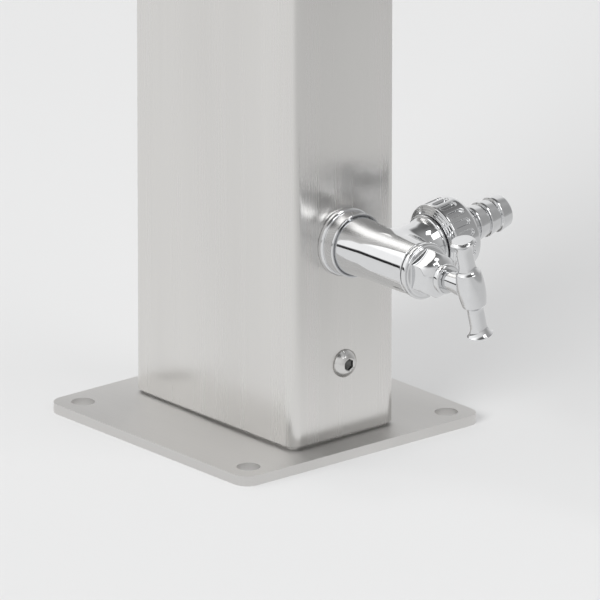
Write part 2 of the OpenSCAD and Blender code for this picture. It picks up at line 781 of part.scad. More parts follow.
// Barbed tail with a collar that the union nut pulls against the branch
module hose_tail() {
    barbs = [for (i = [0:barb_count - 1]) let (l = barb_l + i * barb_pitch)
        each [[barb_root_r, l], [barb_r, l + edge], [barb_r, l + 2 * edge], [barb_root_r, l + barb_pitch]]];
    color(chrome) branch_axis() difference() {
        turned(concat(
            [[0, collar_l], [tail_collar_r, collar_l], [tail_collar_r, tail_l], [tail_neck_r, tail_l],
             [tail_neck_r, barb_l - edge], [barb_root_r, barb_l - edge / 2]],
            barbs,
            [[0, tail_end]]
        ));
        cylinder(r = tail_bore_r, h = tail_end + cut);
    }
}

// Flat washer between the branch and the tail
module tail_washer() {
    color(rubber) branch_axis(washer_l) ring(tail_collar_r, branch_bore_r, tail_washer_t - seat_gap);
}

base_plate();
base_socket();
weld_nut();
post_tube();
top_cap();
fixing_screw();
tap_rosette();
tap_body();
backing_washer();
lock_nut();
supply_elbow();
elbow_seal();
supply_pipe();
compression_ring();
compression_nut();
inlet_socket();
bonnet();
bonnet_gasket();
gland_packing();
gland_nut();
spindle();
valve_plunger();
seat_washer();
washer_nut();
tee_handle();
union_nut();
hose_tail();
tail_washer();
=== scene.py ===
"""Looks of the garden water post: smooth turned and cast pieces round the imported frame.

Sizes of the pieces are in millimetres, as on a drawing, and MM turns them into metres.
Places come from the frame: the joints give the tap's and the hose branch's axes, and the
boxes of the nodes give the post and its plate.
"""

import json
import math

import bpy
import numpy as np
from mathutils import Matrix, Vector

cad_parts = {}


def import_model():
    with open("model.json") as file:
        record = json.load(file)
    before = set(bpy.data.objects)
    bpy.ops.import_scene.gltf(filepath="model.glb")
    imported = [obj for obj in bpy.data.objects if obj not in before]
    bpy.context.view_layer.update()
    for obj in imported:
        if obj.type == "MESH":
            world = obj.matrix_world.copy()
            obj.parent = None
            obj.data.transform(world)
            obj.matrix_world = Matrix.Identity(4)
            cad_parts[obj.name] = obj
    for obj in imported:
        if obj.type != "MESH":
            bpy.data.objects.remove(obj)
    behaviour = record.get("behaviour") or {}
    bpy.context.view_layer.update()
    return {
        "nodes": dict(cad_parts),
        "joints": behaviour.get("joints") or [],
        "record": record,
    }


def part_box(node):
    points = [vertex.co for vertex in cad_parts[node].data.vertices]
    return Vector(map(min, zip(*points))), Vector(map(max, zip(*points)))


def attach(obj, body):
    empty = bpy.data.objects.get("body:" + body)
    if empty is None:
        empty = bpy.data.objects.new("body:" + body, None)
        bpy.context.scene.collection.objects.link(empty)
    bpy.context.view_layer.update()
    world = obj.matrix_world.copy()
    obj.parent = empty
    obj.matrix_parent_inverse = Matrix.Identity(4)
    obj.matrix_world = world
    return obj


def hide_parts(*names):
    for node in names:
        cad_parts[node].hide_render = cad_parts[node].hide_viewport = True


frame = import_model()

MM = 0.001
JOINTS = {joint["name"]: joint for joint in frame["joints"]}

# Camera: the photograph's frame and viewing angle
PHOTO_PX = 600  # width and height of the photograph
VIEW_AZIMUTH = -40.15
VIEW_ELEVATION = 18.65
PX_PER_METRE = 2083.0
FOCAL_PX = 15000.0
SENSOR_MM = 36.0
CLIP_START = 0.1
TAP_ROOT_PX = (344.7, 241.0)

# Tap, along its axis from the face of the wall
BARREL_R = 13.5
BARREL_ROOT_R = 14.7
BARREL_LEN = 56.5
BARREL_ROOT_S = 1.3
BARREL_FLARE_S = 8.0
BARREL_FLARE_LEN = 17.0
SPIGOT_R = 10.4
SPIGOT_BORE_R = 7.0
SPIGOT_LEN = 22.0
SEAT_HOLE_R = 5.5
SEAT_S = 25.0
SEAT_T = 1.6
CHAMBER_R = 10.4
CAST_FILLET = 2.6
BARREL_EDGE = 0.5
BRANCH_EDGE = 0.3
CAST_CELL = 0.36
ROSETTE_R = 17.0
ROSETTE_FLANGE_T = 3.0
ROSETTE_STEP_R = 15.6
ROSETTE_STEP_END = 7.8
ROSETTE_START = 0.05
ROSETTE_HOLLOW = 1.2
BEAD_R = 1.0
GASKET_T = 0.8
FLANGE_S = BARREL_LEN + GASKET_T
FLANGE_R = 13.9
FLANGE_T = 3.0
BONNET_PLUG_R = 10.3
BONNET_PLUG_LEN = 6.0
HEX_AF = 20.4
FLAT_EDGE = 0.25
FLAT_START = 0.35
FLAT_FADE = 0.5
HEX_S = FLANGE_S + FLANGE_T
DOME_S = HEX_S + 1.2
DOME_END = HEX_S + 13.0
DOME_ROOT_R = 11.9
DOME_FRONT_R = 7.4
DOME_POWER = 3.5
GLAND_S = DOME_END + 0.1
GLAND_R = 7.4
GLAND_T = 3.2
GLAND_END = GLAND_S + GLAND_T
GLAND_PLUG_R = 6.2
GLAND_PLUG_LEN = 1.8
SPINDLE_R = 4.0
SPINDLE_GAP = 0.1

# Hose branch, along its axis from the tap's axis
BRANCH_R = 12.2
BRANCH_BORE_R = 8.0
BRANCH_FLARE_L = 15.0
BRANCH_FLARE = 1.2
NECK_R = 14.3
NECK_T = 2.0
NECK_END = 23.6
THREAD_R = 13.1
THREAD_DEPTH = 0.95
THREAD_PITCH = 1.814
THREAD_ROWS_PER_MM = 20
THREAD_START = 0.3
THREAD_FADE = 0.8
TOOTH_SLOPE = 1.6
TOOTH_ROOT = 0.3
BRANCH_LEN = 36.0
NUT_R = 18.0
NUT_START = 26.6
NUT_BACK = 24.2
NUT_BACK_R = 14.6
RIDGE_COUNT = 3
RIDGE_DEPTH = 0.7
RIDGE_GROOVE = 0.35
NUT_END = 42.0
NUT_ROUND_R = 3.0
NUT_GAP = 0.3
LIP_T = 1.2
LIP_R = 9.3
SLOT_COUNT = 20
SLOT_RIM = 1.6
SLOT_LEN = 9.4
SLOT_W = 3.0
SLOT_DEPTH = 1.1
SLOT_EDGE = 0.45
NUT_AROUND = 960
TAIL_START = 38.1
TAIL_COLLAR_R = 12.4
TAIL_COLLAR_T = 2.4
TAIL_NECK_R = 8.4
BARB_R = 9.0
BARB_ROOT_R = 7.9
BARB_START = 42.0
BARB_PITCH = 7.0
BARB_COUNT = 4
TAIL_BORE_R = 6.0

# T-handle, along its bar from the middle
HANDLE_S = 93.0
HANDLE_TURN = 13.0
HANDLE_HALF = 26.0
HUB_R = 6.9
HUB_RIM_R = 6.0
HUB_HALF = 8.6
HUB_STEP_R = 4.6
HUB_STEP = 1.3
HUB_SLOPE = 3.2
ARM_R = 4.1
TIP_R = 6.3
TIP_FACE_R = 5.3
TIP_T = 1.2
BELL_DEG = 50.0
BOSS_R = 4.9
BOSS_TAPER = 1.0

# Fixing screw, along its axis from the face of the wall
SCREW_HEAD_R = 7.0
SCREW_HEAD_H = 4.4
SCREW_RIM_H = 0.66
SCREW_KEY = 5.0
SCREW_KEY_DEPTH = 2.6
SCREW_CHAMFER = 0.35
SCREW_SHANK_R = 4.0
SCREW_SHANK_LEN = 15.5

# Post, plate and lid
WALL_T = 2.0
POST_CORNER_R = 6.0
CUT_EDGE = 0.25
LID_T = 3.0
LID_EDGE = 0.6
LID_UNDER_EDGE = 0.2
SKIRT_INSET = 2.15
CAD_BEVEL = 0.25
CAD_BEVEL_DEG = 50.0

# Mesh making: most of an edge that a fillet takes, step and least slope for drawing points onto
# a field's surface, and numbers of points round the turned pieces
FILLET_SHARE = 0.45
PROBE = 0.01
LEAST_SLOPE = 0.25
SPIGOT_AROUND = 96
BOSS_AROUND = 128
SCREW_AROUND = 144
THREAD_AROUND = 144
GLAND_AROUND = 160
RING_AROUND = 200
BONNET_AROUND = 360


def tap_matrix(roll_deg):
    """Frame of the tap: local +Z points out of the wall, turned about that axis by roll_deg."""
    place = Matrix.Translation(Vector(JOINTS["handle_turn"]["pos_m"]))
    roll = Matrix.Rotation(math.radians(roll_deg), 4, "Z")
    return place @ Matrix.Rotation(math.pi / 2, 4, "X") @ roll


BRANCH_AXIS = Vector(JOINTS["nut_turn"]["axis"])
TAP_ROLL = math.degrees(math.atan2(BRANCH_AXIS.z, BRANCH_AXIS.x))
BRANCH_S = (JOINTS["handle_turn"]["pos_m"][1] - JOINTS["nut_turn"]["pos_m"][1]) / MM
TAP = tap_matrix(TAP_ROLL)
BRANCH = TAP @ Matrix.Translation((0, 0, BRANCH_S * MM)) @ Matrix.Rotation(math.pi / 2, 4, "Y")
HANDLE = tap_matrix(HANDLE_TURN)
BAR = HANDLE @ Matrix.Translation((0, 0, HANDLE_S * MM)) @ Matrix.Rotation(-math.pi / 2, 4, "X")


# Mesh tools

def mesh_object(name, verts, faces, smooth=True):
    """A new mesh object from points in metres."""
    mesh = bpy.data.meshes.new(name)
    mesh.from_pydata([tuple(v) for v in verts], [], [tuple(f) for f in faces])
    mesh.validate()
    mesh.polygons.foreach_set("use_smooth", [smooth] * len(mesh.polygons))
    mesh.update()
    obj = bpy.data.objects.new(name, mesh)
    bpy.context.scene.collection.objects.link(obj)
    return obj


def weighted(obj):
    """Keeps flat and turned faces true beside narrow fillets."""
    mod = obj.modifiers.new("weighted", "WEIGHTED_NORMAL")
    mod.mode = "FACE_AREA"
    mod.weight = 80
    mod.keep_sharp = True
    return obj


def fillet(points, radius=0.3, steps=4, closed=False):
    """Rounds every corner of a polyline with a short arc; a point may carry its own radius."""
    pts = [(p[0], p[1]) for p in points]
    radii = [p[2] if len(p) > 2 else radius for p in points]
    out = []
    count = len(pts)
    for i, p in enumerate(pts):
        if not closed and i in (0, count - 1):
            out.append(p)
            continue
        a, b = pts[i - 1], pts[(i + 1) % count]
        la, lb = math.dist(a, p), math.dist(b, p)
        cut = min(radii[i], FILLET_SHARE * la, FILLET_SHARE * lb)
        if cut <= 0 or la == 0 or lb == 0:
            out.append(p)
            continue
        start = tuple(p[k] + (a[k] - p[k]) * cut / la for k in (0, 1))
        end = tuple(p[k] + (b[k] - p[k]) * cut / lb for k in (0, 1))
        for j in range(steps + 1):
            t = j / steps
            share = (1 - t) ** 2, 2 * t * (1 - t), t * t
            out.append(tuple(share[0] * start[k] + share[1] * p[k] + share[2] * end[k] for k in (0, 1)))
    return out


def split_long(points, step):
    """Adds points along the stretches of a profile that are longer than step."""
    out = [points[0]]
    for a, b in zip(points, points[1:]):
        parts = max(1, math.ceil(math.dist(a, b) / step))
        for j in range(1, parts + 1):
            out.append(tuple(a[k] + (b[k] - a[k]) * j / parts for k in (0, 1)))
    return out


def lathe(name, profile, matrix, around=160, shape=None, closed=False):
    """A turned piece: profile is [(radius, place)], in mm. shape(radius, place, angle) may change
    the radius, for flats, slots and threads."""
    prof = np.array(profile, float)
    angle = np.arange(around) * 2 * math.pi / around
    radius = np.repeat(prof[:, :1], around, axis=1)
    place = np.repeat(prof[:, 1:2], around, axis=1)
    if shape is not None:
        radius = shape(radius, place, np.repeat(angle[None], len(prof), axis=0))
    rows, verts, base = [], [], 0
    for i in range(len(prof)):
        if prof[i, 0] <= 1e-6:
            verts.append((0.0, 0.0, prof[i, 1]))
            rows.append([base] * around)
            base += 1
        else:
            ring = np.stack([radius[i] * np.cos(angle), radius[i] * np.sin(angle), place[i]], axis=1)
            verts += [tuple(v) for v in ring]
            rows.append(list(range(base, base + around)))
            base += around
    faces = []
    pairs = list(zip(rows, rows[1:])) + ([(rows[-1], rows[0])] if closed else [])
    for low, high in pairs:
        for j in range(around):
            k = (j + 1) % around
            corner = [low[j], low[k], high[k], high[j]]
            face = [c for n, c in enumerate(corner) if c not in corner[:n]]
            if len(face) > 2:
                faces.append(face)
    points = [matrix @ Vector((v[0] * MM, v[1] * MM, v[2] * MM)) for v in verts]
    return weighted(mesh_object(name, points, faces))


def smooth_step(value):
    """0 below 0, 1 above 1, and a soft slope between them."""
    share = np.clip(value, 0, 1)
    return share * share * (3 - 2 * share)


def smooth_min(a, b, k):
    """Union of two distance fields with a fillet of about k."""
    h = np.clip(0.5 + 0.5 * (b - a) / k, 0, 1)
    return b * (1 - h) + a * h - k * h * (1 - h)


def smooth_max(a, b, k):
    """Intersection of two distance fields with an edge rounding of about k."""
    return -smooth_min(-a, -b, k)


def field_surface(name, field, low, high, cell, matrix):
    """Meshes the zero surface of a field(points) given in mm, as even quads drawn onto it."""
    low, high = np.array(low, float), np.array(high, float)
    counts = np.ceil((high - low) / cell).astype(int) + 1
    axes = [low[k] + cell * np.arange(counts[k]) for k in range(3)]
    grid = np.stack(np.meshgrid(*axes, indexing="ij"), axis=-1)
    inside = field(grid.reshape(-1, 3)).reshape(counts) < 0
    total = np.zeros(counts - 1, int)
    for step in np.ndindex(2, 2, 2):
        part = tuple(slice(step[k], counts[k] - 1 + step[k]) for k in range(3))
        total += inside[part]
    active = (total > 0) & (total < 8)
    index = np.full(active.shape, -1)
    index[active] = np.arange(active.sum())
    points = low + (np.argwhere(active) + 0.5) * cell
    quads = []
    for axis in range(3):
        others = [k for k in range(3) if k != axis]
        cross = np.diff(inside.astype(np.int8), axis=axis)
        where = np.argwhere(cross != 0)
        beside = where[:, others]
        where = where[np.all(beside > 0, axis=1) & np.all(beside < counts[others] - 1, axis=1)]
        sign = cross[tuple(where.T)]
        ring = []
        for a, b in ((-1, -1), (0, -1), (0, 0), (-1, 0)):
            at = where.copy()
            at[:, others[0]] += a
            at[:, others[1]] += b
            ring.append(index[tuple(at.T)])
        quad = np.stack(ring, axis=1)
        flip = (sign > 0) != (axis == 1)
        quad[flip] = quad[flip][:, ::-1]
        quads.append(quad)
    quads = np.concatenate(quads)
    quads = quads[np.all(quads >= 0, axis=1)]

    def drawn(p, rounds):
        """Moves points along the field's slope onto its surface."""
        for _ in range(rounds):
            value = field(p)
            slope = np.stack([(field(p + d) - value) / PROBE for d in PROBE * np.eye(3)], axis=1)
            size = np.maximum((slope ** 2).sum(1), LEAST_SLOPE)
            p = p - slope * (value / size)[:, None]
        return p

    points = drawn(points, 3)
    for _ in range(3):
        total_p = np.zeros_like(points)
        number = np.zeros(len(points))
        for k in range(4):
            for n in (1, 3):
                np.add.at(total_p, quads[:, k], points[quads[:, (k + n) % 4]])
                np.add.at(number, quads[:, k], 1)
        points = drawn(0.5 * points + 0.5 * total_p / np.maximum(number, 1)[:, None], 1)
    points = drawn(points, 2)
    world = np.array(matrix.to_3x3()) @ (points * MM).T + np.array(matrix.translation)[:, None]
    return mesh_object(name, world.T, quads)


def rounded_outline(half_x, half_y, radius, steps=12):
    """Points of a rectangle with round corners, anticlockwise, in mm."""
    out = []
    for cx, cy, start in ((1, 1, 0), (-1, 1, 90), (-1, -1, 180), (1, -1, 270)):
        for j in range(steps + 1):
            a = math.radians(start + 90 * j / steps)
            x = cx * (half_x - radius) + radius * math.cos(a)
            y = cy * (half_y - radius) + radius * math.sin(a)
            out.append((x, y))
    return out


def outline_loft(name, rings, closed_ends=True):
    """Skins a list of (outline, height) rings in mm. Both ends are filled, or joined to each other."""
    count = len(rings[0][0])
    verts = [(x * MM, y * MM, z * MM) for outline, z in rings for x, y in outline]
    faces = []
    for i in range(len(rings) - 1):
        for j in range(count):
            k = (j + 1) % count
            low, high = i * count, (i + 1) * count
            faces.append((low + j, low + k, high + k, high + j))
    if closed_ends:
        faces.append(tuple(range(count))[::-1])
        faces.append(tuple((len(rings) - 1) * count + j for j in range(count)))
    else:
        last = (len(rings) - 1) * count
        for j in range(count):
            k = (j + 1) % count
            faces.append((last + j, last + k, k, j))
    return weighted(mesh_object(name, verts, faces))


# Materials

class Nodes:
    """Short hand for building a node tree."""

    def __init__(self, name):
        self.material = bpy.data.materials.new(name)
        self.material.use_nodes = True
        self.tree = self.material.node_tree
        self.shader = self.tree.nodes["Principled BSDF"]

    def new(self, kind, **settings):
        """A node of the given kind, with its settings."""
        node = self.tree.nodes.new(kind)
        for key, value in settings.items():
            setattr(node, key, value)
        return node

    def link(self, a, b):
        """Joins an output to an input."""
        self.tree.links.new(a, b)

    def coords(self, scale):
        """Object coordinates in metres, scaled by a vector."""
        coord = self.new("ShaderNodeTexCoord")
        mapping = self.new("ShaderNodeMapping")
        mapping.inputs["Scale"].default_value = scale
        self.link(coord.outputs["Object"], mapping.inputs["Vector"])
        return mapping.outputs["Vector"]

    def noise(self, scale, detail=2.0, rough=0.5):
        """Noise with its own number of waves a metre along each axis."""
        noise = self.new("ShaderNodeTexNoise")
        noise.inputs["Scale"].default_value = 1.0
        noise.inputs["Detail"].default_value = detail
        noise.inputs["Roughness"].default_value = rough
        self.link(self.coords(scale), noise.inputs["Vector"])
        return noise.outputs["Fac"]

    def span(self, value, low, high, start=0.0, end=1.0):
        """Maps start..end of a value onto low..high."""
        node = self.new("ShaderNodeMapRange")
        node.inputs["From Min"].default_value = start
        node.inputs["From Max"].default_value = end
        node.inputs["To Min"].default_value = low
        node.inputs["To Max"].default_value = high
        self.link(value, node.inputs["Value"])
        return node.outputs["Result"]

    def math(self, kind, a, b):
        """A sum, product or the like of two values, each a number or a socket."""
        node = self.new("ShaderNodeMath", operation=kind)
        for socket, value in zip(node.inputs, (a, b)):
            if isinstance(value, (int, float)):
                socket.default_value = value
            else:
                self.link(value, socket)
        return node.outputs[0]

    def blend(self, a, b, share):
        """A share of one value and the rest of another."""
        return self.math("ADD", self.math("MULTIPLY", a, share), self.math("MULTIPLY", b, 1 - share))

    def mix_colour(self, factor, low, high):
        """Goes from one colour to another with a factor."""
        node = self.new("ShaderNodeMix", data_type="RGBA")
        self.link(factor, node.inputs["Factor"])
        sockets = [socket for socket in node.inputs if socket.type == "RGBA"]
        for socket, colour in zip(sockets, (low, high)):
            socket.default_value = (*colour, 1)
        return [socket for socket in node.outputs if socket.type == "RGBA"][0]

    def bump(self, height, strength, distance):
        """Fine relief on the surface; distance is in metres."""
        node = self.new("ShaderNodeBump")
        node.inputs["Strength"].default_value = strength
        node.inputs["Distance"].default_value = distance
        self.link(height, node.inputs["Height"])
        self.link(node.outputs["Normal"], self.shader.inputs["Normal"])

    def set(self, name, value):
        """Gives a socket of the shader a number, a colour or a link."""
        socket = self.shader.inputs[name]
        if isinstance(value, (int, float)):
            socket.default_value = value
        elif isinstance(value, tuple):
            socket.default_value = (*value, 1)
        else:
            self.link(value, socket)


def brushed_steel(name, grain, low, high, rough, anisotropy):
    """Stainless sheet with a fine brushed grain, faint wider bands and a slow change of tone."""
    m = Nodes(name)
    fine = m.noise(grain, 3.0, 0.65)
    bands = m.noise(tuple(BAND_SCALE * g for g in grain))
    cloud = m.noise(tuple(CLOUD_SCALE * g + CLOUD_LEAST for g in grain))
    streak = m.blend(fine, bands, FINE_SHARE)
    tone = m.blend(streak, cloud, FINE_SHARE)
    m.set("Base Color", m.mix_colour(m.span(tone, 0, 1, *NOISE_MIDDLE), low, high))
    m.set("Metallic", 1.0)
    m.set("Roughness", m.span(streak, *rough, *NOISE_MIDDLE))
    m.set("Anisotropic", anisotropy)
    tangent = m.new("ShaderNodeTangent", direction_type="RADIAL", axis="Z")
    m.link(tangent.outputs[0], m.shader.inputs["Tangent"])
    m.bump(fine, *GRAIN_BUMP)
    return m.material


def chrome_plate(name):
    """Polished chrome over cast brass: faint waves, handling haze and hair scratches."""
    m = Nodes(name)
    wave = m.noise(WAVE_SCALE, 1.0)
    haze = m.noise(HAZE_SCALE, 4.0)
    scratch = m.noise(SCRATCH_SCALE, 3.0, 0.7)
    m.set("Base Color", m.mix_colour(haze, CHROME_LOW, CHROME_HIGH))
    m.set("Metallic", 1.0)
    dull = m.span(haze, 0.035, 0.085, 0.35, 0.7)
    m.set("Roughness", m.math("ADD", dull, m.span(scratch, 0.0, 0.03, 0.55, 0.75)))
    m.bump(m.math("ADD", wave, m.math("MULTIPLY", scratch, SCRATCH_HEIGHT)), *CHROME_BUMP)
    return m.material


def machined_metal(name, low, high, rough):
    """Turned or drawn metal of the fittings inside the post."""
    m = Nodes(name)
    turn = m.noise(TURNED_SCALE, 3.0, 0.6)
    stain = m.noise(STAIN_SCALE, 4.0)
    m.set("Base Color", m.mix_colour(stain, low, high))
    m.set("Metallic", 1.0)
    m.set("Roughness", m.span(turn, *rough, *NOISE_MIDDLE))
    m.bump(turn, *TURNED_BUMP)
    return m.material


def matt_seal(name, low, high):
    """Rubber or fibre of the seals."""
    m = Nodes(name)
    grain = m.noise(SEAL_SCALE, 3.0)
    m.set("Base Color", m.mix_colour(grain, low, high))
    m.set("Roughness", m.span(grain, 0.6, 0.8))
    m.bump(grain, *SEAL_BUMP)
    return m.material


# Noise scales are in waves a metre: brushed grain is fine across and long along its direction.
# NOISE_MIDDLE is the stretch that most of a noise's values lie in. A bump is (strength, metres)
NOISE_MIDDLE = (0.3, 0.7)
WAVE_SCALE = (90.0, 90.0, 90.0)
HAZE_SCALE = (260.0, 220.0, 240.0)
SCRATCH_SCALE = (4200.0, 260.0, 900.0)
SCRATCH_HEIGHT = 0.02
TURNED_SCALE = (300.0, 300.0, 2600.0)
STAIN_SCALE = (60.0, 60.0, 60.0)
SEAL_SCALE = (1800.0, 1800.0, 1800.0)
GRAIN_BUMP = (0.12, 0.00004)
CHROME_BUMP = (0.10, 0.0006)
TURNED_BUMP = (0.25, 0.00008)
SEAL_BUMP = (0.3, 0.0001)
STEEL_LOW = (0.665, 0.655, 0.64)
STEEL_HIGH = (0.755, 0.745, 0.728)
PLATE_LOW = (0.62, 0.612, 0.60)
PLATE_HIGH = (0.73, 0.721, 0.708)
CHROME_LOW = (0.665, 0.67, 0.68)
CHROME_HIGH = (0.725, 0.73, 0.735)
POST_GRAIN = (1500.0, 1500.0, 14.0)
PLATE_GRAIN = (1500.0, 16.0, 1500.0)
BAND_SCALE = 0.07
CLOUD_SCALE = 0.012
CLOUD_LEAST = 2.0
FINE_SHARE = 0.45
MATERIALS = {
    "brushed_steel": brushed_steel("brushed_steel", POST_GRAIN, STEEL_LOW, STEEL_HIGH, (0.22, 0.30), 0.7),
    "plain_steel": machined_metal("plain_steel", (0.45, 0.45, 0.44), (0.6, 0.6, 0.59), (0.3, 0.5)),
    "screw_steel": machined_metal("screw_steel", (0.6, 0.595, 0.585), (0.74, 0.735, 0.725),
                                  (0.14, 0.24)),
    "chrome": chrome_plate("chrome"),
    "brass": machined_metal("brass", (0.62, 0.47, 0.2), (0.78, 0.62, 0.32), (0.2, 0.38)),
    "copper": machined_metal("copper", (0.6, 0.3, 0.18), (0.78, 0.45, 0.3), (0.22, 0.42)),
    "rubber": matt_seal("rubber", (0.012, 0.012, 0.013), (0.03, 0.03, 0.032)),
    "fibre": matt_seal("fibre", (0.32, 0.07, 0.05), (0.46, 0.12, 0.08)),
}
PLATE_STEEL = brushed_steel("plate_steel", PLATE_GRAIN, PLATE_LOW, PLATE_HIGH, (0.46, 0.58), 0.4)
# Dark metal for the inside of the screw's hex socket: painted shade of the recess
SOCKET_PAINTED_SHADE = machined_metal("socket_painted_shade", (0.10, 0.10, 0.10), (0.22, 0.22, 0.215), (0.35, 0.55))


def dress(obj, body, slot, material=None, replaces=()):
    """Gives a new piece its body and its material, the slot's unless one is given, and hides the nodes
    that it stands for.
    """
    obj.data.materials.clear()
    obj.data.materials.append(material or MATERIALS[slot])
    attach(obj, body)
    if replaces:
        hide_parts(*replaces)
    return obj


# Pieces of the post
# In a profile, a point's third number is its rounding radius. Small offsets are edge chamfers

def corner_mm(node):
    """Lowest and highest corner of a node's box, in mm."""
    low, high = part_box(node)
    return [v / MM for v in low], [v / MM for v in high]


def inset_outline(high, inset):
    """The post's outline, drawn in by inset on every side."""
    return rounded_outline(high[0] - inset, high[1] - inset, POST_CORNER_R - inset)


def post_shell():
    """The rectangular tube, with its round corners and its cut lower edge."""
    low, high = corner_mm("post_tube")
    rings = [(CUT_EDGE, low[2]), (0, low[2] + CUT_EDGE), (0, high[2] - CUT_EDGE), (CUT_EDGE, high[2]),
             (WALL_T, high[2]), (WALL_T, low[2])]
    rings = [(inset_outline(high, inset), z) for inset, z in rings]
    shell = outline_loft("post_shell", rings, False)
    return dress(shell, "post", "brushed_steel", None, ["post_tube"])


def cap_lid():
    """The lid of the post, with softly broken edges, and its skirt below."""
    low, high = corner_mm("top_cap")
    under = high[2] - LID_T
    rings = [(SKIRT_INSET, low[2]), (SKIRT_INSET, under), (LID_UNDER_EDGE, under),
             (0, under + LID_UNDER_EDGE)]
    steps = 4
    for j in range(steps + 1):
        a = math.radians(90 * j / steps)
        rings.append((LID_EDGE * (1 - math.cos(a)), high[2] - LID_EDGE + LID_EDGE * math.sin(a)))
    rings = [(inset_outline(high, inset), z) for inset, z in rings]
    return dress(outline_loft("cap_lid", rings), "post", "brushed_steel", PLATE_STEEL, ["top_cap"])


def hexagon_radius(inner_r, angle):
    """Distance to the side of a hexagon whose flats are inner_r from the middle."""
    local = np.mod(angle + math.pi / 6, math.pi / 3) - math.pi / 6
    return inner_r / np.cos(local)


def screw_head():
    """Button head with its hexagon socket, and the shank inside the wall. The socket's inside gets a dark
    material: painted shade of the recess.
    """
    low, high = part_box("fixing_screw")
    middle = Vector((0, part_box("post_tube")[0].y, 0.5 * (low.z + high.z)))
    matrix = Matrix.Translation(middle) @ Matrix.Rotation(math.pi / 2, 4, "X")
    key_r = SCREW_KEY / 2
    dome_h = SCREW_HEAD_H - SCREW_RIM_H
    dome_r = (SCREW_HEAD_R ** 2 + dome_h ** 2) / (2 * dome_h)
    mouth = key_r / math.cos(math.radians(30)) + SCREW_CHAMFER

    def dome(radius):
        """Height of the head's round top."""
        return SCREW_HEAD_H - dome_r + math.sqrt(dome_r ** 2 - radius ** 2)

    profile = [(0, -SCREW_SHANK_LEN), (SCREW_SHANK_R - 0.5, -SCREW_SHANK_LEN),
               (SCREW_SHANK_R, 0.5 - SCREW_SHANK_LEN), (SCREW_SHANK_R, 0.0), (SCREW_HEAD_R - 0.3, 0.0),
               (SCREW_HEAD_R - 0.05, 0.2), (SCREW_HEAD_R - 0.02, SCREW_RIM_H - 0.1)]
    steps = 14
    for j in range(steps + 1):
        radius = SCREW_HEAD_R - 0.06 + (mouth - SCREW_HEAD_R + 0.06) * j / steps
        profile.append((radius, dome(radius)))
    chamfer = dome(mouth) - 0.45
    bottom = SCREW_HEAD_H - SCREW_KEY_DEPTH
    profile += [(key_r, chamfer), (key_r, chamfer - 0.15), (key_r, bottom + 0.05),
                (key_r - 0.05, bottom), (0, bottom - 0.5)]

    def socket(radius, place, angle):
        """Turns the round key hole into a hexagon."""
        hexagon = hexagon_radius(key_r, angle)
        in_socket = (place < chamfer + 0.01) & (place > bottom - 0.1) & (radius <= key_r + 0.01)
        return np.where(in_socket, hexagon * radius / key_r, radius)

    head = lathe("screw_head", profile, matrix, SCREW_AROUND, socket)
    dress(head, "post", "screw_steel", None, ["fixing_screw"])
    head.data.materials.append(SOCKET_PAINTED_SHADE)
    # Faces inside the hex socket take the dark material: painted shade of the recess
    back = matrix.inverted()
    for face in head.data.polygons:
        at = back @ face.center
        if math.hypot(at.x, at.y) < (key_r + 0.3) * MM and at.z > 0:
            face.material_index = 1
    return head


# Pieces of the tap

def rosette():
    """Cover ring: thick flange, drawn-in step and the bead that the barrel comes out of."""
    bead_at = ROSETTE_STEP_END + BEAD_R
    mouth = float(barrel_radius(bead_at)) + 0.02
    bead = [(ROSETTE_STEP_R - 0.5 + BEAD_R * math.sin(a), bead_at - BEAD_R * math.cos(a))
            for a in (math.radians(25 + 20 * j) for j in range(7))]
    hole = SPIGOT_R + 0.2
    flange = ROSETTE_FLANGE_T
    profile = fillet([(hole, ROSETTE_START), (ROSETTE_R - 0.2, ROSETTE_START), (ROSETTE_R, 0.5),
                      (ROSETTE_R, flange - 0.8, 0.6), (ROSETTE_R - 0.8, flange, 0.4),
                      (ROSETTE_STEP_R + 0.15, flange, 0.4), (ROSETTE_STEP_R, flange + 1.2, 0.5),
                      (ROSETTE_STEP_R - 0.35, ROSETTE_STEP_END, 0.3)], 0.2, 5)
    profile += bead + [(mouth, bead_at + 0.6), (mouth, ROSETTE_HOLLOW), (hole, ROSETTE_HOLLOW)]
    ring = lathe("rosette", profile, TAP, RING_AROUND, None, True)
    return dress(ring, "post", "chrome", None, ["tap_rosette"])


def barrel_radius(s):
    """Outline of the barrel: a soft trumpet at the root, straight to the front."""
    share = np.clip((s - BARREL_FLARE_S) / BARREL_FLARE_LEN, 0, 1)
    return BARREL_R + (BARREL_ROOT_R - BARREL_R) * (1 - share) ** 2


def branch_radius(l):
    """Outline of the hose branch: straight, then widening into the neck rim."""
    share = np.clip((l - BRANCH_FLARE_L) / (NECK_END - NECK_T - BRANCH_FLARE_L), 0, 1)
    return BRANCH_R + BRANCH_FLARE * share ** 2


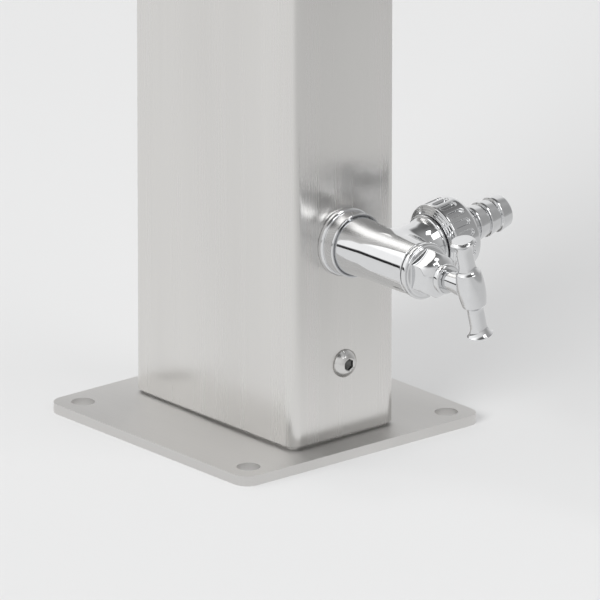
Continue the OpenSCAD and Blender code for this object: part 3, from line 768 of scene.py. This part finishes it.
def tap_body():
    """Hollow casting of barrel and branch, the pipe through the wall and the threaded end."""
    branch_end = NECK_END - 0.5 * NECK_T

    def field(p):
        """Distance to the casting's skin, negative in the metal; r and q are radii."""
        r = np.hypot(p[:, 0], p[:, 1])
        s = p[:, 2]
        ends = np.maximum(s - BARREL_LEN, BARREL_ROOT_S - s)
        barrel = smooth_max(r - barrel_radius(s), ends, BARREL_EDGE)
        q = np.hypot(p[:, 1], s - BRANCH_S)
        l = p[:, 0]
        branch = smooth_max(q - branch_radius(l), np.maximum(l - branch_end, -l), BRANCH_EDGE)
        inlet = np.maximum(r - SPIGOT_BORE_R, s - SEAT_S + SEAT_T)
        seat = np.maximum(r - SEAT_HOLE_R, s - SEAT_S - SEAT_T)
        chamber = np.maximum(r - CHAMBER_R, SEAT_S - s)
        outlet = np.maximum(q - BRANCH_BORE_R, -l)
        hollow = np.minimum(np.minimum(inlet, seat), np.minimum(chamber, outlet))
        return np.maximum(smooth_min(barrel, branch, CAST_FILLET), -hollow)

    cell = CAST_CELL
    low, high = (-16, -16, 0), (branch_end + 1.5, 16, BARREL_LEN + 1.5)
    body = field_surface("tap_body_cast", field, low, high, cell, TAP)
    dress(body, "post", "chrome", None, ["tap_body"])
    pipe_end = BARREL_ROOT_S + 0.4
    pipe = fillet([(SPIGOT_BORE_R, -SPIGOT_LEN), (SPIGOT_R, -SPIGOT_LEN, 0.6), (SPIGOT_R, pipe_end),
                   (SPIGOT_BORE_R, pipe_end)], 0.2, 4, True)
    dress(lathe("tap_spigot", pipe, TAP, SPIGOT_AROUND, None, True), "post", "chrome", None, ["tap_body"])
    rim = NECK_END - NECK_T
    root = THREAD_R - THREAD_DEPTH
    profile = fillet([(BRANCH_BORE_R, rim), (NECK_R - 0.7, rim, 0.3), (NECK_R, rim + 0.6, 0.4),
                      (NECK_R, NECK_END - 0.5, 0.4), (NECK_R - 0.6, NECK_END, 0.2),
                      (root, NECK_END, 0.2)], 0.2, 4)
    rows = int((BRANCH_LEN - NECK_END) * THREAD_ROWS_PER_MM)
    profile = split_long(profile, 2.0)
    profile += [(root, NECK_END + j / THREAD_ROWS_PER_MM) for j in range(1, rows)]
    profile += [(root - 1.0, BRANCH_LEN), (BRANCH_BORE_R, BRANCH_LEN)]

    def thread(radius, place, angle):
        """Raises the thread's teeth, which run in and out softly."""
        turn = np.mod((place - NECK_END) / THREAD_PITCH - angle / (2 * math.pi), 1.0)
        tooth = np.clip(TOOTH_SLOPE * (1 - np.abs(2 * turn - 1)) - TOOTH_ROOT, 0, 1)
        run_in = np.clip((place - NECK_END - THREAD_START) / THREAD_FADE, 0, 1)
        fade = run_in * np.clip((BRANCH_LEN - place) / THREAD_FADE, 0, 1)
        on = (place > NECK_END + 0.04) & (place < BRANCH_LEN)
        return radius + np.where(on, (THREAD_R - root) * tooth * fade, 0)

    spout = lathe("branch_thread", profile, BRANCH, THREAD_AROUND, thread, True)
    return dress(spout, "post", "chrome", None, ["tap_body"])


def bonnet():
    """Headwork: round flange, and a dome that six flats cut into curved faces."""
    root = fillet([(BONNET_PLUG_R, FLANGE_S - BONNET_PLUG_LEN), (BONNET_PLUG_R, FLANGE_S, 0.05),
                   (FLANGE_R - 0.4, FLANGE_S, 0.3), (FLANGE_R, FLANGE_S + 0.6, 0.5),
                   (FLANGE_R, HEX_S - 0.6, 0.5), (FLANGE_R - 0.5, HEX_S, 0.4),
                   (DOME_ROOT_R + 0.4, HEX_S + 0.05, 0.3), (DOME_ROOT_R + 0.05, HEX_S + 0.5, 0.3),
                   (DOME_ROOT_R, DOME_S)], 0.3, 5)
    steps = 60
    dome = []
    for j in range(1, steps + 1):
        share = j / steps
        radius = DOME_FRONT_R + (DOME_ROOT_R - DOME_FRONT_R) * (1 - share ** DOME_POWER)
        dome.append((radius, DOME_S + (DOME_END - 0.3 - DOME_S) * share))
    front = [(DOME_FRONT_R - 0.3, DOME_END), (SPINDLE_R + SPINDLE_GAP, DOME_END)]

    def flats(radius, place, angle):
        """Cuts six flats into the dome, from just in front of the flange."""
        cut = smooth_min(radius, hexagon_radius(0.5 * HEX_AF, angle), FLAT_EDGE)
        share = smooth_step((place - HEX_S - FLAT_START) / FLAT_FADE)
        reach = (place > HEX_S + 0.2) & (radius > DOME_FRONT_R + 0.1)
        return np.where(reach, radius + (cut - radius) * share, radius)

    profile = split_long(root, 0.4) + dome + front
    head = lathe("bonnet_head", profile, tap_matrix(0), BONNET_AROUND, flats)
    return dress(head, "post", "chrome", None, ["bonnet"])


def gland():
    """Flanged gland nut in front of the dome."""
    hole = SPINDLE_R + SPINDLE_GAP
    plug_s = GLAND_S - GLAND_PLUG_LEN
    profile = fillet([(GLAND_PLUG_R, plug_s), (GLAND_PLUG_R, GLAND_S, 0.05), (GLAND_R - 0.4, GLAND_S, 0.3),
                      (GLAND_R, GLAND_S + 0.5, 0.4), (GLAND_R, GLAND_END - 0.7, 0.5),
                      (GLAND_R - 0.7, GLAND_END, 0.5), (hole, GLAND_END, 0.2), (hole, plug_s)],
                     0.2, 5, True)
    ring = lathe("gland_ring", profile, TAP, GLAND_AROUND, None, True)
    return dress(ring, "post", "chrome", None, ["gland_nut"])


def tee_handle():
    """T-handle: the turned bar, and the boss that holds the spindle."""
    steps = 10
    bulge = HUB_R - HUB_RIM_R
    half = [(HUB_R - bulge * (j / steps) ** 2, HUB_HALF * j / steps) for j in range(steps)]
    half += [(HUB_RIM_R, HUB_HALF, 0.35), (HUB_STEP_R, HUB_HALF + HUB_STEP, 0.8),
             (ARM_R, HUB_HALF + HUB_SLOPE, 1.2)]
    bell_r = (TIP_R - ARM_R) / (1 - math.cos(math.radians(BELL_DEG)))
    bell_s = HANDLE_HALF - TIP_T - bell_r * math.sin(math.radians(BELL_DEG))
    for j in range(steps + 1):
        turn = math.radians(BELL_DEG * j / steps)
        half.append((ARM_R + bell_r * (1 - math.cos(turn)), bell_s + bell_r * math.sin(turn)))
    half += [(TIP_R + 0.05, HANDLE_HALF - TIP_T + 0.15, 0.2), (TIP_FACE_R, HANDLE_HALF, 0.35),
             (0, HANDLE_HALF)]
    half = fillet(half, 0.25, 4)
    mirror = [(r, -z) for r, z in half[:0:-1]]
    bar = lathe("handle_bar", mirror + half, BAR, RING_AROUND)
    dress(bar, "handle", "chrome", None, ["tee_handle"])
    start = GLAND_END + 0.1
    profile = fillet([(SPINDLE_R, start), (BOSS_R - 0.3, start, 0.3), (BOSS_R, start + 0.6, 0.4),
                      (BOSS_R + BOSS_TAPER, HANDLE_S - HUB_RIM_R + 2.0), (0, HANDLE_S - 3.0)], 0.2, 4)
    boss = lathe("handle_boss", profile, HANDLE, BOSS_AROUND)
    return dress(boss, "handle", "chrome", None, ["tee_handle"])


def union_nut():
    """Union nut with a ridged collar at the back and round-ended grip slots."""
    bore = THREAD_R + NUT_GAP
    cone = [(bore, NUT_BACK), (NUT_BACK_R, NUT_BACK, 0.2)]
    for j in range(RIDGE_COUNT):
        low, high = (j + RIDGE_GROOVE) / RIDGE_COUNT, (j + 1) / RIDGE_COUNT
        for share, sunk in ((low, RIDGE_DEPTH), (high, 0.0)):
            radius = NUT_BACK_R + (NUT_R - 0.4 - NUT_BACK_R) * share - sunk
            cone.append((radius, NUT_BACK + (NUT_START - NUT_BACK) * share, 0.25))
    grip = [(NUT_R, NUT_START + 0.6, 0.3), (NUT_R, NUT_END - NUT_ROUND_R - 0.2, 0.2)]
    outer = fillet(cone + grip, 0.3, 4)
    shoulder = [(NUT_R - NUT_ROUND_R * (1 - math.cos(a)), NUT_END - NUT_ROUND_R * (1 - math.sin(a)))
                for a in (math.radians(9 * j) for j in range(11))]
    lip = NUT_END - LIP_T
    inner = fillet([shoulder[-1], (LIP_R + 0.4, NUT_END, 0.3), (LIP_R, NUT_END - 0.4, 0.2),
                    (LIP_R, lip, 0.1), (bore, lip, 0.1), (bore, NUT_BACK)], 0.2, 3)
    profile = split_long(outer + shoulder, 0.2) + inner[1:-1]
    slot_half = SLOT_W / 2
    slot_low = NUT_START + SLOT_RIM
    slot_high = slot_low + SLOT_LEN

    def slots(radius, place, angle):
        """Sinks the grip slots, each a straight groove with round ends."""
        turn = np.mod(angle * SLOT_COUNT / (2 * math.pi) + 0.5, 1.0) - 0.5
        across = turn * 2 * math.pi / SLOT_COUNT * NUT_R
        middle = np.clip(place, slot_low + slot_half, slot_high - slot_half)
        edge = slot_half - np.hypot(across, place - middle)
        depth = smooth_step(edge / SLOT_EDGE + 0.5)
        return np.where(radius > NUT_R - 2.5, radius - SLOT_DEPTH * depth, radius)

    around = NUT_AROUND
    nut = lathe("union_nut_grip", profile, BRANCH, around, slots, True)
    return dress(nut, "nut", "chrome", None, ["union_nut"])


def hose_tail():
    """Barbed tail: sharp steps towards the nut, long slopes towards the hose."""
    collar_end = TAIL_START + TAIL_COLLAR_T
    profile = [(TAIL_BORE_R, TAIL_START), (TAIL_COLLAR_R, TAIL_START, 0.2),
               (TAIL_COLLAR_R, collar_end, 0.2), (TAIL_NECK_R, collar_end, 0.3),
               (TAIL_NECK_R, BARB_START - 0.6, 0.3)]
    for i in range(BARB_COUNT):
        at = BARB_START + i * BARB_PITCH
        profile += [(BARB_ROOT_R, at, 0.15), (BARB_R - 0.15, at + 0.35, 0.25), (BARB_R, at + 1.3, 0.8),
                    (BARB_ROOT_R + 0.1, at + BARB_PITCH - 0.3, 0.3)]
    end = BARB_START + BARB_COUNT * BARB_PITCH
    profile[-1] = (BARB_ROOT_R + 0.2, end - 0.4, 0.4)
    profile += [(BARB_ROOT_R - 0.2, end, 0.3), (TAIL_BORE_R, end, 0.3)]
    tail = lathe("hose_barbs", fillet(profile, 0.2, 4, True), BRANCH, RING_AROUND, None, True)
    return dress(tail, "tail", "chrome", None, ["hose_tail"])


def dress_cad_nodes():
    """Gives every node that stays visible the material of its slot."""
    for entry in frame["record"]["subparts"]:
        node = frame["nodes"][entry["node"]]
        plate = entry["node"] == "base_plate"
        node.data.materials.clear()
        node.data.materials.append(PLATE_STEEL if plate else MATERIALS[entry["material_slot"]])
        bevel = node.modifiers.new("edge", "BEVEL")
        bevel.width = CAD_BEVEL * MM
        bevel.segments = 2
        bevel.limit_method = "ANGLE"
        bevel.angle_limit = math.radians(CAD_BEVEL_DEG)
        bevel.harden_normals = False


# Stage

# Brightness of the room by height: each wall has the direction that it lies in, and
# (height, brightness) stops, where height is the sine of the angle above the floor
WORLD_GAIN = 2.0
CORNER = math.sqrt(0.5)
WALLS = [
    ((-CORNER, CORNER, 0), [(-1, 0.92), (-0.03, 0.92), (-0.015, 0.03), (0.11, 0.03), (0.15, 1.2),
                            (0.45, 1.2), (0.55, 1.7), (0.72, 1.7), (0.80, 0.2), (1, 0.14)]),
    ((CORNER, CORNER, 0), [(-1, 0.92), (-0.01, 0.92), (0.03, 0.97), (0.62, 0.97), (0.78, 0.2),
                           (1, 0.14)]),
    ((CORNER, -CORNER, 0), [(-1, 0.45), (-0.1, 0.42), (0.5, 0.40), (0.9, 0.40), (1, 0.2)]),
    ((-CORNER, -CORNER, 0), [(-1, 0.92), (-0.01, 0.92), (0.03, 0.85), (0.6, 0.9), (0.72, 0.16),
                             (1, 0.14)]),
]

# What the camera sees: the backdrop above the floor's far edge, and a share of even pale paper
BACKDROP = (0.75, 0.75, 0.75, 1)
PAPER = (0.935, 0.94, 0.945, 1)
PAPER_SHARE = 0.3

# What metal sees of the floor: it gets darker along MIRROR_AXIS, over two stretches, each
# (brightness before, brightness after, start, end), with the places in metres
MIRROR_AXIS = (0.7, -0.7, 0)
MIRROR_SHARE = 0.8
MIRROR_NEAR = (0.93, 0.68, 0.05, 0.3)
MIRROR_FAR = (1.0, 0.6, 0.75, 1.1)
FLOOR_HALF = 30.0
FLOOR_COLOUR = (0.64, 0.64, 0.64)
FLOOR_ROUGHNESS = 0.75
FLOOR_SPECULAR = 0.2

# Lamps: directions from the tap, distances and sizes in metres
SOFTBOXES = {"softbox_back": (-0.26, 0.50, 0.82), "softbox_front": (0.25, -0.35, 0.90)}
SOFTBOX_FAR = 2.0
SOFTBOX_SIZE = 0.5
SOFTBOX_POWER = 4.0
FRONT_LIGHT = (0.03, -0.72, 0.69)
FRONT_LIGHT_SIZE = 0.8
FRONT_LIGHT_POWER = 4.6
SIDE_LIGHT = (-0.9, -0.25, 0.5)
SIDE_LIGHT_DEG = 30.0
SIDE_LIGHT_POWER = 2.8


def floor():
    """Pale floor that keeps the shadow, with its own brightness for the camera and for metal."""
    half = FLOOR_HALF
    verts = [(-half, -half, 0), (half, -half, 0), (half, half, 0), (-half, half, 0)]
    obj = mesh_object("floor", verts, [(0, 1, 2, 3)], False)
    m = Nodes("floor")
    m.set("Base Color", FLOOR_COLOUR)
    m.set("Roughness", FLOOR_ROUGHNESS)
    m.set("Specular IOR Level", FLOOR_SPECULAR)
    paper = m.new("ShaderNodeEmission")
    paper.inputs["Color"].default_value = PAPER
    mirrored = m.new("ShaderNodeEmission")
    reach = m.new("ShaderNodeVectorMath", operation="DOT_PRODUCT")
    coord = m.new("ShaderNodeTexCoord")
    m.link(coord.outputs["Object"], reach.inputs[0])
    reach.inputs[1].default_value = MIRROR_AXIS
    near = m.span(reach.outputs["Value"], *MIRROR_NEAR)
    far = m.span(reach.outputs["Value"], *MIRROR_FAR)
    m.link(m.math("MULTIPLY", near, far), mirrored.inputs["Strength"])
    path = m.new("ShaderNodeLightPath")
    seen = m.new("ShaderNodeMixShader")
    m.link(m.math("MULTIPLY", path.outputs["Is Camera Ray"], PAPER_SHARE), seen.inputs[0])
    m.link(m.shader.outputs[0], seen.inputs[1])
    m.link(paper.outputs[0], seen.inputs[2])
    mix = m.new("ShaderNodeMixShader")
    m.link(m.math("MULTIPLY", path.outputs["Is Glossy Ray"], MIRROR_SHARE), mix.inputs[0])
    m.link(seen.outputs[0], mix.inputs[1])
    m.link(mirrored.outputs[0], mix.inputs[2])
    m.link(mix.outputs[0], m.tree.nodes["Material Output"].inputs["Surface"])
    obj.data.materials.append(m.material)


def world():
    """Studio round the object: four walls of different brightness, blended, and a dark ceiling."""
    scene = bpy.context.scene
    scene.world = bpy.data.worlds.new("studio")
    scene.world.use_nodes = True
    tree = scene.world.node_tree
    background = tree.nodes["Background"]

    def maths(kind, a, b):
        """A sum, product or the like of two values, each a number or a socket."""
        node = tree.nodes.new("ShaderNodeMath")
        node.operation = kind
        for socket, value in zip(node.inputs, (a, b)):
            if isinstance(value, (int, float)):
                socket.default_value = value
            else:
                tree.links.new(value, socket)
        return node.outputs[0]

    def vector(kind, a, b):
        """A vector sum, product or the like of a socket and a constant, if there is one."""
        node = tree.nodes.new("ShaderNodeVectorMath")
        node.operation = kind
        tree.links.new(a, node.inputs[0])
        if b is not None:
            node.inputs[1].default_value = b
        return node.outputs

    coord = tree.nodes.new("ShaderNodeTexCoord").outputs["Generated"]
    split = tree.nodes.new("ShaderNodeSeparateXYZ")
    tree.links.new(coord, split.inputs[0])
    level = vector("NORMALIZE", vector("MULTIPLY", coord, (1, 1, 0))["Vector"], None)["Vector"]
    height = maths("MULTIPLY_ADD", split.outputs["Z"], 0.5)
    height.node.inputs[2].default_value = 0.5
    total = None
    for toward, stops in WALLS:
        side = maths("MAXIMUM", vector("DOT_PRODUCT", level, toward)["Value"], 0.0)
        ramp = tree.nodes.new("ShaderNodeValToRGB")
        elements = ramp.color_ramp.elements
        while len(elements) < len(stops):
            elements.new(0.5)
        for element, (up, value) in zip(elements, stops):
            element.position = 0.5 + 0.5 * up
            element.color = (value / WORLD_GAIN,) * 3 + (1,)
        tree.links.new(height, ramp.inputs[0])
        part = maths("MULTIPLY", maths("MULTIPLY", side, side), ramp.outputs[0])
        total = part if total is None else maths("ADD", total, part)
    tree.links.new(total, background.inputs["Color"])
    background.inputs["Strength"].default_value = WORLD_GAIN
    backdrop = tree.nodes.new("ShaderNodeBackground")
    backdrop.inputs["Color"].default_value = BACKDROP
    mix = tree.nodes.new("ShaderNodeMixShader")
    path = tree.nodes.new("ShaderNodeLightPath")
    tree.links.new(path.outputs["Is Camera Ray"], mix.inputs[0])
    tree.links.new(background.outputs[0], mix.inputs[1])
    tree.links.new(backdrop.outputs[0], mix.inputs[2])
    tree.links.new(mix.outputs[0], tree.nodes["World Output"].inputs["Surface"])


def aimed(name, lamp, toward, far):
    """Puts a lamp in a given direction from the tap, shining at it."""
    obj = bpy.data.objects.new(name, lamp)
    bpy.context.scene.collection.objects.link(obj)
    toward = Vector(toward).normalized()
    obj.location = TAP.translation + toward * far
    obj.rotation_euler = (-toward).to_track_quat("-Z", "Y").to_euler()
    return obj


def softbox(name, toward, far, size, power):
    """A square area lamp."""
    lamp = bpy.data.lights.new(name, "AREA")
    lamp.shape = "SQUARE"
    lamp.size = size
    lamp.energy = power
    return aimed(name, lamp, toward, far)


def side_light():
    """Soft light from the left, even over the whole floor. Metal doesn't mirror it."""
    lamp = bpy.data.lights.new("side_light", "SUN")
    lamp.energy = SIDE_LIGHT_POWER
    lamp.angle = math.radians(SIDE_LIGHT_DEG)
    aimed("side_light", lamp, SIDE_LIGHT, SOFTBOX_FAR).visible_glossy = False


def camera():
    """Long lens at the photograph's angle, aimed so that the tap's root falls where the photo has it."""
    a, e = math.radians(VIEW_AZIMUTH), math.radians(VIEW_ELEVATION)
    right = Vector((math.cos(a), math.sin(a), 0))
    ahead = Vector((-math.sin(a) * math.cos(e), math.cos(a) * math.cos(e), -math.sin(e)))
    up = right.cross(ahead)
    half = PHOTO_PX / 2
    aside = (half - TAP_ROOT_PX[0]) / PX_PER_METRE
    above = (TAP_ROOT_PX[1] - half) / PX_PER_METRE
    aim = TAP.translation + right * aside + up * above
    data = bpy.data.cameras.new("camera")
    data.sensor_width = SENSOR_MM
    data.lens = FOCAL_PX / PHOTO_PX * SENSOR_MM
    distance = FOCAL_PX / PX_PER_METRE
    data.clip_start = CLIP_START
    data.clip_end = 10 * distance
    obj = bpy.data.objects.new("camera", data)
    bpy.context.scene.collection.objects.link(obj)
    turned = Matrix((right, up, -ahead)).transposed().to_4x4()
    obj.matrix_world = Matrix.Translation(aim - ahead * distance) @ turned
    bpy.context.scene.camera = obj


camera()
dress_cad_nodes()
post_shell()
cap_lid()
screw_head()
rosette()
tap_body()
bonnet()
gland()
tee_handle()
union_nut()
hose_tail()
floor()
world()
for softbox_name, softbox_toward in SOFTBOXES.items():
    softbox(softbox_name, softbox_toward, SOFTBOX_FAR, SOFTBOX_SIZE, SOFTBOX_POWER)
softbox("front_light", FRONT_LIGHT, SOFTBOX_FAR, FRONT_LIGHT_SIZE, FRONT_LIGHT_POWER)
side_light()

bpy.context.scene.view_settings.view_transform = "Standard"
